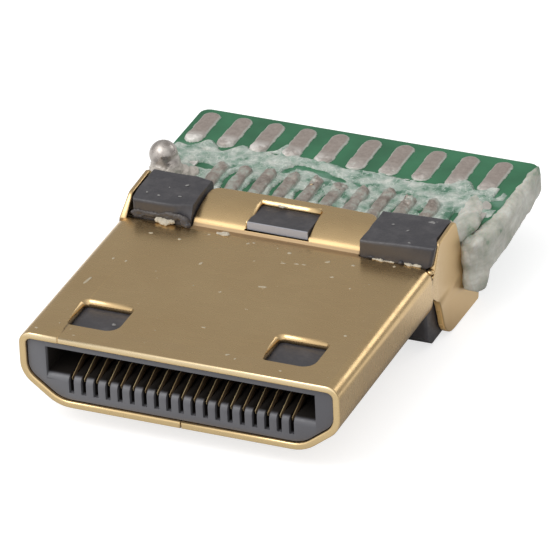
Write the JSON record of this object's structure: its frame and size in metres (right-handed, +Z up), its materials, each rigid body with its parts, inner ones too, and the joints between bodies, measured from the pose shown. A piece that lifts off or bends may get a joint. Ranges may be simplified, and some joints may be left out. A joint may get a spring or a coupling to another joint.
{
  "type": "miniature video plug",
  "caption": "Gold-plated miniature video plug with a comb of contacts in a black insulator, soldered to a small green board with tinned wire pads.",
  "frame": {"origin": "middle of the mating face, level with the shell's underside", "axes": "+X across the plug, +Y from the mating face back towards the wire pads, +Z up, out of the wide side of the D"},
  "size_m": [0.0116, 0.0153, 0.0038],
  "materials": {
    "shell_plating": "satin gold plating",
    "housing_plastic": "moulded, slightly glossy",
    "contact_plating": "polished gold plating",
    "board_laminate": "solder mask with flux residue",
    "tinned_pads": "dull tin",
    "solder": "dull solder"
  },
  "bodies": {
    "root": {"shell": "shell_plating", "housing": "housing_plastic", "contact_01": "contact_plating", "contact_02": "contact_plating", "contact_03": "contact_plating", "contact_04": "contact_plating", "contact_05": "contact_plating", "contact_06": "contact_plating", "contact_07": "contact_plating", "contact_08": "contact_plating", "contact_09": "contact_plating", "contact_10": "contact_plating", "contact_11": "contact_plating", "contact_12": "contact_plating", "contact_13": "contact_plating", "contact_14": "contact_plating", "contact_15": "contact_plating", "contact_16": "contact_plating", "contact_17": "contact_plating", "contact_18": "contact_plating", "contact_19": "contact_plating", "circuit_board": "board_laminate", "top_wire_pads": "tinned_pads", "bottom_wire_pads": "tinned_pads", "top_tail_pads": "tinned_pads", "bottom_tail_pads": "tinned_pads", "ground_pads": "tinned_pads", "top_tail_solder": "solder", "bottom_tail_solder": "solder", "left_upper_solder": "solder", "right_upper_solder": "solder", "left_lower_solder": "solder", "right_lower_solder": "solder"}
  },
  "joints": []
}
